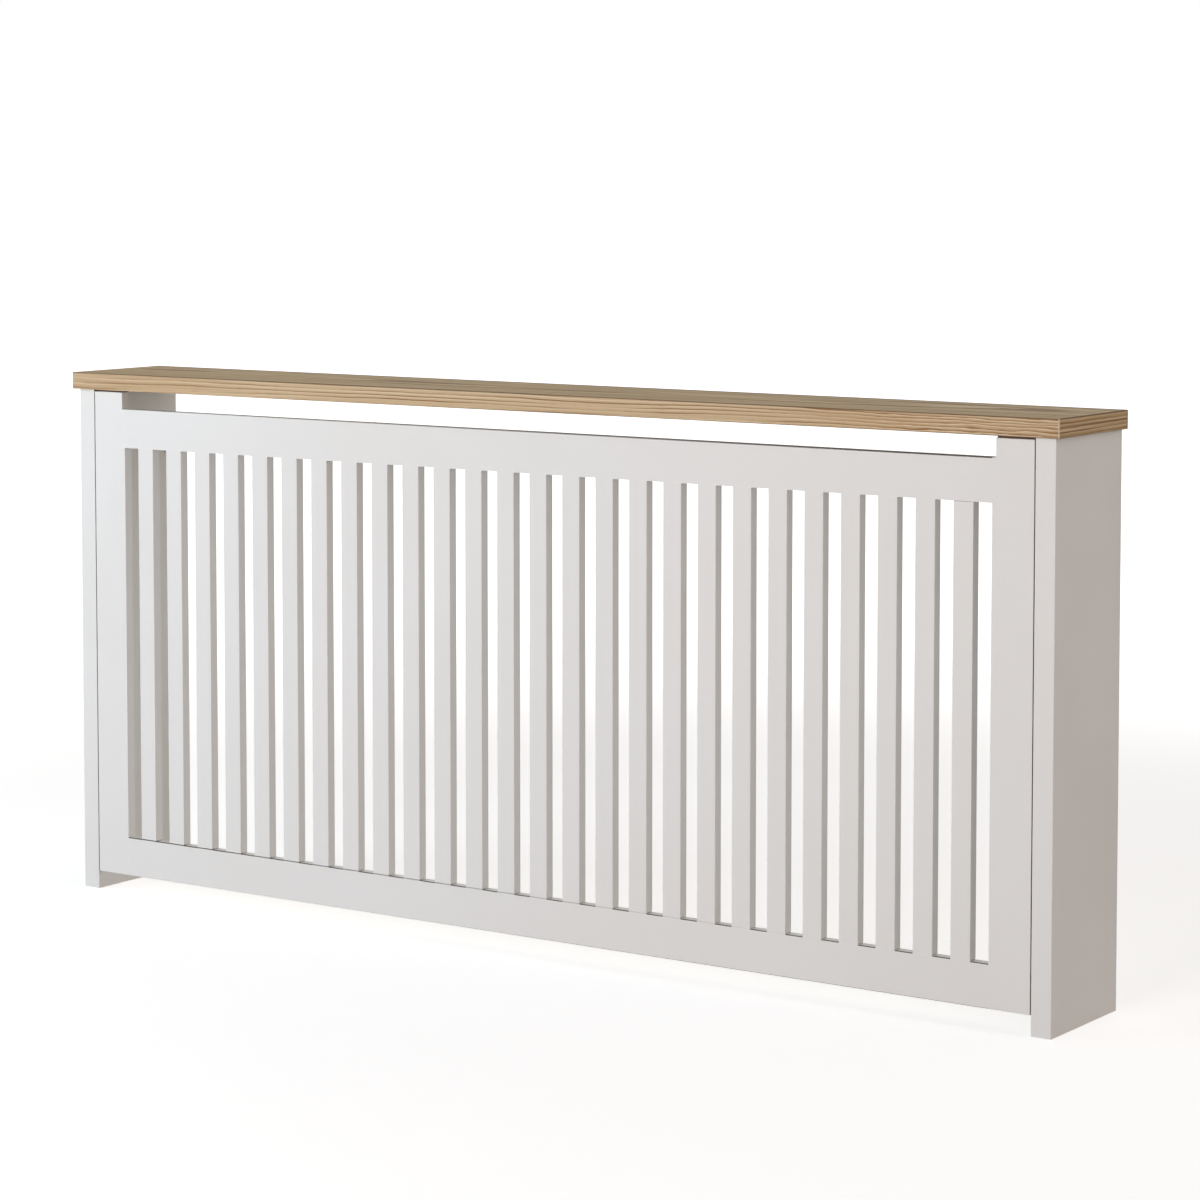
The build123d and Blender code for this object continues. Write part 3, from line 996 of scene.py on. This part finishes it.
@dataclass
class Cabinet:
    """The painted boards: side panels, frame members and slats.

    The faces that meet in the joints, the stiles' head rebates and a crack over the last slat are
    painted near black, raw board with painted shade, so the joints read as dark lines. Painted shade
    lies along the sills, on the vent sill and under the lower rail. A Span gives where on X it begins
    and where it is full.
    """

    # A near-black tone for the faces in the joints, the head rebates and the crack: raw board, and painted
    # shade in those gaps.
    raw_board_and_gap_shade: Colour = (0.085, 0.036, 0.012)
    # Painted shade along the rails' upper front arrises, under the slats' feet and along the lower rail's
    # underside.
    painted_shade: Colour = (0.035, 0.027, 0.018)
    # Painted shade on the vent sill, under the shelf.
    sill_shade: Colour = (0.15, 0.125, 0.10)
    soft: float = 0.3 * MM
    rebate_height: float = 2.5 * MM
    inside_arris: float = 0.4 * MM
    crack: float = 0.3 * MM
    vent_arris: float = 1.8 * MM
    slot_arris: float = 1.3 * MM
    under_arris: float = 1.2 * MM
    arris_full: float = 0.4
    arris_reach: float = 3.0 * MM
    reach_full: float = 0.5
    vent_span: Span = (-800.0 * MM, 700.0 * MM)
    feet_span: Span = (500.0 * MM, -950.0 * MM)
    under_span: Span = (-600.0 * MM, 500.0 * MM)

    def joint_patches(self, side: Side) -> Tuple[Patch, Patch]:
        """The faces of the joint between a stile and its side panel and of the stile's head rebate, near
        black: raw board and painted shade.

        Args:
            side: the end that they are at.

        Returns:
            The patch of the joint, for both boards, and the patch of the stile's head.
        """
        low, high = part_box("right_stile")
        panel_low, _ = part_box("right_side_panel")
        rebate_floor = high.z - self.rebate_height
        inside = Band(Axis.Y, low.y + self.inside_arris - self.soft, low.y + self.inside_arris + self.soft)
        before = Band(Axis.Y, high.y + self.soft, high.y)
        above = Band(Axis.Z, low.z, low.z + self.soft)
        rebate = Band(Axis.Z, rebate_floor - self.soft, rebate_floor)
        outer = Band(Axis.X, side.value * (high.x - self.soft), side.value * high.x)
        inner = Band(Axis.X, side.value * (panel_low.x + self.soft), side.value * panel_low.x)
        # The joint and rebate faces get the near-black painted shade.
        joint = Patch((outer, inner, inside, before, above), self.raw_board_and_gap_shade, strength=1.0)
        head = Patch((rebate, inside), self.raw_board_and_gap_shade, strength=1.0)
        return joint, head

    def sill_edge(self, rail: str, arris: float) -> Band:
        """The band along a rail's upper front arris."""
        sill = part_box(rail)[1].z
        return Band(Axis.Z, sill - arris, sill - self.arris_full * arris)

    def at_front(self) -> Band:
        """The band behind the frame's front face."""
        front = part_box("bottom_rail")[0].y
        return Band(Axis.Y, front + self.arris_reach, front + self.reach_full * self.arris_reach)

    def slots(self) -> Comb:
        """The slots between the slats.

        Returns:
            A comb with a band in each slot.
        """
        first_low, first_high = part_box("slat_01")
        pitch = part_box("slat_02")[0].x - first_low.x
        slot = pitch - (first_high.x - first_low.x)
        return Comb(Axis.X, first_low.x - slot / 2, pitch, slot / 2)

    def top_rail(self) -> PaintedBoard:
        """The upper rail, with painted shade on its sill and darker painted shade along the arris.

        Returns:
            The finish.
        """
        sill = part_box("top_rail")[1].z
        over_vent = Band(Axis.X, *self.vent_span)
        on_sill = Band(Axis.Z, sill - self.soft, sill)
        # Painted shade over the vent sill and darker along its front arris.
        shaded = Patch((on_sill, over_vent), self.sill_shade, strength=0.85)
        edge = self.sill_edge("top_rail", self.vent_arris)
        vent = Patch((edge, self.at_front(), over_vent), self.painted_shade, strength=0.92)
        return PaintedBoard("top_rail_paint", (shaded, vent))

    def bottom_rail(self) -> PaintedBoard:
        """The lower rail, with painted shade along its sill in the slots and under the slats' feet, and
        below.

        Returns:
            The finish.
        """
        sill = self.sill_edge("bottom_rail", self.slot_arris)
        # Painted shade along the sill in the slots, under the feet and along the rail's underside.
        slot_sills = Patch((sill, self.at_front(), self.slots()), self.painted_shade, strength=0.95)
        at_feet = Band(Axis.X, *self.feet_span)
        feet = Patch((sill, self.at_front(), at_feet), self.painted_shade, strength=0.95)
        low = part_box("bottom_rail")[0].z
        under = Band(Axis.Z, low + self.under_arris, low + self.arris_full * self.under_arris)
        lower = Patch((under, Band(Axis.X, *self.under_span)), self.painted_shade, strength=0.8)
        return PaintedBoard("bottom_rail_paint", (slot_sills, feet, lower))

    def last_slat(self) -> PaintedBoard:
        """The last slat, with a crack in the paint over its head, drawn as a painted dark line of shade.

        Returns:
            The finish.
        """
        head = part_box("top_rail")[0].z - self.crack
        crack = Patch((Band(Axis.Z, head - self.soft, head),), self.raw_board_and_gap_shade, strength=0.9)
        return PaintedBoard("last_slat_paint", (crack,))

    def dress(self, nodes: Nodes) -> None:
        """Paints every board.

        Args:
            nodes: the frame's nodes by name.
        """
        for side in Side:
            joint, head = self.joint_patches(side)
            stile = PaintedBoard(f"{side.word}_stile_paint", (joint, head))
            panel = PaintedBoard(f"{side.word}_panel_paint", (joint,))
            dress(nodes, [f"{side.word}_stile"], stile.build())
            dress(nodes, [f"{side.word}_side_panel"], panel.build())
        slats = slat_names(nodes)
        dress(nodes, slats[:-1], PaintedBoard().build())
        dress(nodes, ["top_rail"], self.top_rail().build())
        dress(nodes, ["bottom_rail"], self.bottom_rail().build())
        dress(nodes, slats[-1:], self.last_slat().build())


@dataclass
class FootJoints:
    """The shrunk filler in the open joints between the slats' feet and the bottom rail.

    It sits deepest and is painted near black at the left as painted shade in the open joint, and lies
    flush and white at the right.
    """

    gap: float = 0.8 * MM
    deepest: float = 1.6 * MM
    shallowest: float = 0.08 * MM
    hollow: float = 0.12 * MM
    tenon_setback: float = 5.0 * MM
    bite: float = 0.04 * MM
    front_steps: int = 9
    stations: int = 3
    # Near-black painted shade for the open joints, strongest at the left.
    painted_shade: Colour = (0.010, 0.008, 0.006)
    shade_span: Span = (720.0 * MM, -760.0 * MM)

    def points(self, slats: Sequence[str]) -> np.ndarray:
        """The fillers' points.

        A filler's section is flat at the back, top and bottom, and its front is hollow: it lies behind
        the slats' face by the recess plus the hollow times 1 - v squared, where v runs from 1 at the
        top to -1 at the bottom. The recess shrinks evenly from the left slat to the right one.

        Args:
            slats: the slats' names, from left to right.

        Returns:
            The places, by slat, station, point of the ring and coordinate.
        """
        ends = np.array([[tuple(corner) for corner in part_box(name)] for name in slats])
        face = ends[:, 0, Axis.Y.value]
        v = np.linspace(1.0, -1.0, self.front_steps)
        recess = np.linspace(self.deepest, self.shallowest, len(slats))
        front = (face + recess)[:, None] + self.hollow * (1.0 - v**2)
        back = np.repeat((face + self.tenon_setback)[:, None], 2, axis=1)
        ring_y = np.concatenate([back, front], axis=1)
        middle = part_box("bottom_rail")[1].z + self.gap / 2
        ring_z = middle + (self.gap / 2 + self.bite) * np.concatenate([[-1.0, 1.0], v])
        station_x = np.linspace(ends[:, 0, Axis.X.value], ends[:, 1, Axis.X.value], self.stations, axis=1)
        shape = (len(slats), self.stations, len(ring_z))
        x = np.broadcast_to(station_x[:, :, None], shape)
        y = np.broadcast_to(ring_y[:, None, :], shape)
        z = np.broadcast_to(ring_z, shape)
        return np.stack([x, y, z], axis=-1)

    def dress(self, nodes: Nodes) -> None:
        """Makes the fillers and paints them with painted shade, darker to the left.

        Args:
            nodes: the frame's nodes by name.
        """
        piece = bars("foot_joint_fillers", self.points(slat_names(nodes)))
        painted_shade = Patch((Band(Axis.X, *self.shade_span),), self.painted_shade, strength=1.0)
        piece.data.materials.append(PaintedBoard("foot_joint_paint", (painted_shade,)).build())
        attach(piece, "root")
        LOG.info("made %s", piece.name)


@dataclass
class Fittings:
    """Dowels, cam fittings, wall brackets and their screws."""

    beech: BeechDowel = BeechDowel()
    zinc: Metal = Metal(
        "cast_zinc",
        colour=(0.52, 0.52, 0.53),
        dull=(0.36, 0.36, 0.37),
        roughness=0.42,
        grain_size=0.35 * MM,
        grain_depth=0.02 * MM,
    )
    steel: Metal = Metal(
        "plated_steel",
        colour=(0.44, 0.44, 0.43),
        dull=(0.27, 0.27, 0.26),
        roughness=0.34,
        grain_size=0.6 * MM,
        grain_depth=0.008 * MM,
    )

    def dress(self, nodes: Nodes) -> None:
        """Gives each fitting its metal or wood.

        Args:
            nodes: the frame's nodes by name.
        """
        dress(nodes, ["rail_dowels", "side_dowels", "top_dowels"], self.beech.build())
        dress(nodes, ["front_cams", "top_cams"], self.zinc.build())
        steel = self.steel.build()
        dress(nodes, ["front_cam_bolts", "top_cam_bolts"], steel)
        dress(nodes, ["left_wall_bracket", "right_wall_bracket", "bracket_screws"], steel)


# ---------------- studio


@dataclass(frozen=True)
class Camera:
    """The photograph's viewpoint, with turns in degrees and the focal length in the frame's pixels."""

    place: Triple = (2.9171, -4.1374, 1.1552)
    yaw: float = 34.5003
    pitch: float = 4.0526
    focal_pixels: float = 3498.3
    frame_pixels: float = 1200.0
    sensor: float = 36.0
    shift_up: float = -0.165
    farthest: float = 200.0

    def build(self) -> None:
        """Makes the camera and hands it to the scene."""
        data = bpy.data.cameras.new("photo_camera")
        data.sensor_width = self.sensor
        data.lens = self.focal_pixels / self.frame_pixels * self.sensor
        data.shift_y = self.shift_up
        data.clip_end = self.farthest
        camera = bpy.data.objects.new("photo_camera", data)
        camera.location = self.place
        camera.rotation_euler = Euler((math.radians(90 - self.pitch), 0.0, math.radians(self.yaw)))
        bpy.context.scene.collection.objects.link(camera)
        bpy.context.scene.camera = camera


@dataclass(frozen=True)
class Lobe:
    """Soft light from one side of the dome: strength times the squared cosine from its direction."""

    axis: Axis
    sign: float
    strength: Colour


@dataclass(frozen=True)
class Lamp:
    """A large square soft lamp, with its power in watts for red, green and blue."""

    name: str
    place: Triple
    side: float
    watts: Colour
    aim: Triple = (0.0, 0.0, 0.4)

    def build(self) -> None:
        """Hangs the lamp and turns it to the cover."""
        data = bpy.data.lights.new(self.name, "AREA")
        data.shape = "SQUARE"
        data.size = self.side
        data.energy = max(self.watts)
        data.color = [part / data.energy for part in self.watts]
        lamp = bpy.data.objects.new(self.name, data)
        lamp.location = self.place
        lamp.rotation_euler = (Vector(self.aim) - Vector(self.place)).to_track_quat("-Z", "Y").to_euler()
        bpy.context.scene.collection.objects.link(lamp)


@dataclass(frozen=True)
class Studio:
    """A pale floor under a soft dome, brighter behind and at the right, with two soft lamps."""

    dome: Colour = (0.113, 0.104, 0.115)
    lobes: Tuple[Lobe, ...] = (
        Lobe(Axis.X, 1.0, (0.802, 0.655, 0.542)),
        Lobe(Axis.Y, 1.0, (1.48, 1.48, 1.36)),
    )
    lamps: Tuple[Lamp, ...] = (
        Lamp("front_lamp", (0.5, -7.0, 1.5), 2.4, (229.6, 211.8, 200.5)),
        Lamp("left_lamp", (-2.8, -2.4, 1.5), 2.0, (37.0, 45.8, 52.4)),
    )
    floor_half: float = 60.0
    floor_bounce: Colour = (0.5, 0.5, 0.5)
    floor_seen: Colour = (0.9, 0.9, 0.9)
    glow_share: float = 0.2
    glow_strength: Span = (2.9, 5.2)
    glow_distance: Span = (1.5, 4.0)

    def seen(self, g: Graph) -> Socket:
        """Tells the rays that see the backdrop from those that light the cover.

        Args:
            g: the graph of the material or world.

        Returns:
            1 for rays from the camera, by reflection or through glass, and 0 for others.
        """
        path = g.node("ShaderNodeLightPath").outputs
        direct = g.larger(path["Is Camera Ray"], path["Is Glossy Ray"])
        return g.larger(direct, path["Is Transmission Ray"])

    def build_world(self) -> None:
        """A dome that lights softly and shows white."""
        world = bpy.data.worlds.new("studio_dome")
        world.use_nodes = True
        g = Graph(world.node_tree)
        toward = g.split(g.node("ShaderNodeTexCoord").outputs["Generated"])
        light: Input = self.dome
        for lobe in self.lobes:
            cosine = g.larger(g.times(toward[lobe.axis.value], lobe.sign), 0.0)
            inputs = {0: lobe.strength, "Scale": g.times(cosine, cosine)}
            part = g.node("ShaderNodeVectorMath", inputs, operation="SCALE").outputs[0]
            light = g.node("ShaderNodeVectorMath", {0: light, 1: part}, operation="ADD").outputs[0]
        soft = g.node("ShaderNodeBackground", {"Color": light})
        white = g.node("ShaderNodeBackground", {"Color": rgba(WHITE)})
        mix = g.node("ShaderNodeMixShader", {0: self.seen(g), 1: soft.outputs[0], 2: white.outputs[0]})
        g.node("ShaderNodeOutputWorld", {"Surface": mix.outputs[0]})
        bpy.context.scene.world = world

    def floor_material(self) -> bpy.types.Material:
        """A floor that shows white, keeps the cover's shadow and bounces a soft light.

        To rays that see it, it is a matt white that also glows, more with the distance from the
        cover, so that it meets the dome with no horizon. To the light it is a plain mid grey.

        Returns:
            The material.
        """
        material, g = new_material("studio_floor")
        seen = self.seen(g)
        matt_tone = g.blend(seen, self.floor_bounce, self.floor_seen)
        matt = g.node("ShaderNodeBsdfDiffuse", {"Color": matt_tone})
        away = g.node("ShaderNodeVectorMath", {0: g.place()}, operation="LENGTH").outputs["Value"]
        strength = g.remap(away, *self.glow_distance, *self.glow_strength)
        glow = g.node("ShaderNodeEmission", {"Color": rgba(WHITE), "Strength": strength})
        share = g.times(seen, self.glow_share)
        mix = g.node("ShaderNodeMixShader", {0: share, 1: matt.outputs[0], 2: glow.outputs[0]})
        g.node("ShaderNodeOutputMaterial", {"Surface": mix.outputs[0]})
        return material

    def build_floor(self) -> None:
        """A wide flat floor."""
        half = self.floor_half
        mesh = bpy.data.meshes.new("studio_floor")
        corners = [(-half, -half, 0.0), (half, -half, 0.0), (half, half, 0.0), (-half, half, 0.0)]
        mesh.from_pydata(corners, [], [(0, 1, 2, 3)])
        mesh.materials.append(self.floor_material())
        floor = bpy.data.objects.new("studio_floor", mesh)
        bpy.context.scene.collection.objects.link(floor)

    def build(self) -> None:
        """Sets up the whole studio."""
        bpy.context.scene.view_settings.view_transform = "Standard"
        self.build_world()
        self.build_floor()
        for lamp in self.lamps:
            lamp.build()


def main() -> None:
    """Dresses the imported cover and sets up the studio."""
    logging.basicConfig(level=logging.INFO, format="%(name)s: %(message)s")
    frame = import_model()
    for part in (Shelf(), Cabinet(), FootJoints(), Fittings()):
        part.dress(frame["nodes"])
    Studio().build()
    Camera().build()


if __name__ == "__main__":
    main()
